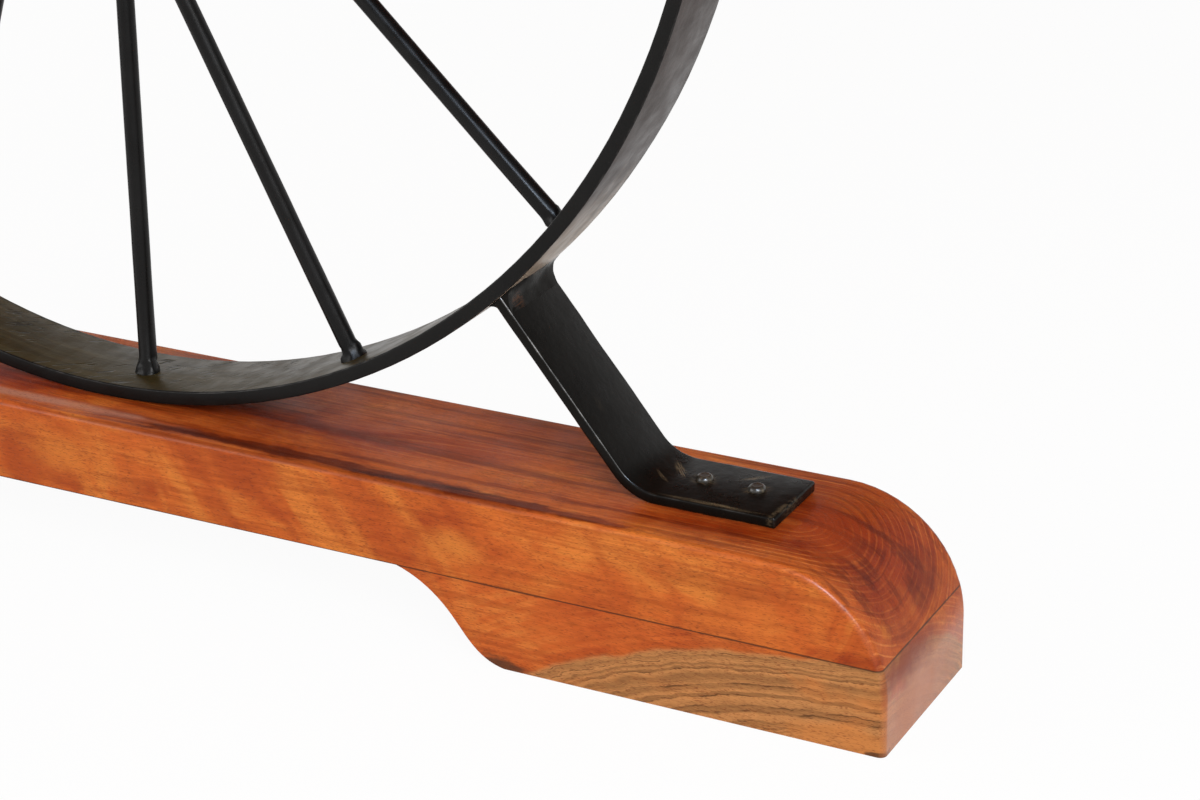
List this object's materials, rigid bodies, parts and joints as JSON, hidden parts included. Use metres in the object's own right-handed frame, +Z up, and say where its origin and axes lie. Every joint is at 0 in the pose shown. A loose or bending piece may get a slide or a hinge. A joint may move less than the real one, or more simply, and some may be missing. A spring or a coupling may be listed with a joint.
{
  "type": "wagon wheel table",
  "caption": "Trestle dining table: two iron wagon wheels stand on footed wooden beams, joined by an iron stretcher, and carry a plank top.",
  "frame": {"origin": "on the floor under the middle of the top", "axes": "+Z up, +Y along the table's length, +X across it; the front trestle is the one at -Y"},
  "size_m": [0.965, 2.032, 0.762],
  "materials": {
    "beam_wood": "clear lacquered hardwood, deep red-brown with dark streaks",
    "foot_wood": "clear lacquered hardwood, golden brown sapwood with dark wavy streaks",
    "top_wood": "clear lacquered hardwood planks",
    "wheel_iron": "satin black paint over hammered flat bar",
    "bracket_iron": "satin black paint, worn at the edges",
    "stretcher_iron": "satin black paint",
    "screw_steel": "blackened steel, worn bright on the heads"
  },
  "bodies": {
    "root": {"base_beam_front": "beam_wood", "foot_front_left": "foot_wood", "foot_front_right": "foot_wood", "wheel_rim_front": "wheel_iron", "wheel_spokes_front": "wheel_iron", "wheel_hub_front": "wheel_iron", "lower_bracket_front_left": "bracket_iron", "lower_bracket_front_right": "bracket_iron", "upper_bracket_front_left": "bracket_iron", "upper_bracket_front_right": "bracket_iron", "bracket_welds_front": "bracket_iron", "bracket_screws_front": "screw_steel", "top_cleat_front": "top_wood", "cleat_screws_front": "screw_steel", "base_beam_back": "beam_wood", "foot_back_left": "foot_wood", "foot_back_right": "foot_wood", "wheel_rim_back": "wheel_iron", "wheel_spokes_back": "wheel_iron", "wheel_hub_back": "wheel_iron", "lower_bracket_back_left": "bracket_iron", "lower_bracket_back_right": "bracket_iron", "upper_bracket_back_left": "bracket_iron", "upper_bracket_back_right": "bracket_iron", "bracket_welds_back": "bracket_iron", "bracket_screws_back": "screw_steel", "top_cleat_back": "top_wood", "cleat_screws_back": "screw_steel", "stretcher_tube": "stretcher_iron", "tie_rod": "stretcher_iron", "tie_rod_washers": "screw_steel", "tie_rod_nuts": "screw_steel", "top_plank_1": "top_wood", "top_plank_2": "top_wood", "top_plank_3": "top_wood", "top_plank_4": "top_wood", "top_plank_5": "top_wood", "top_plank_6": "top_wood", "top_plank_7": "top_wood"}
  },
  "joints": []
}
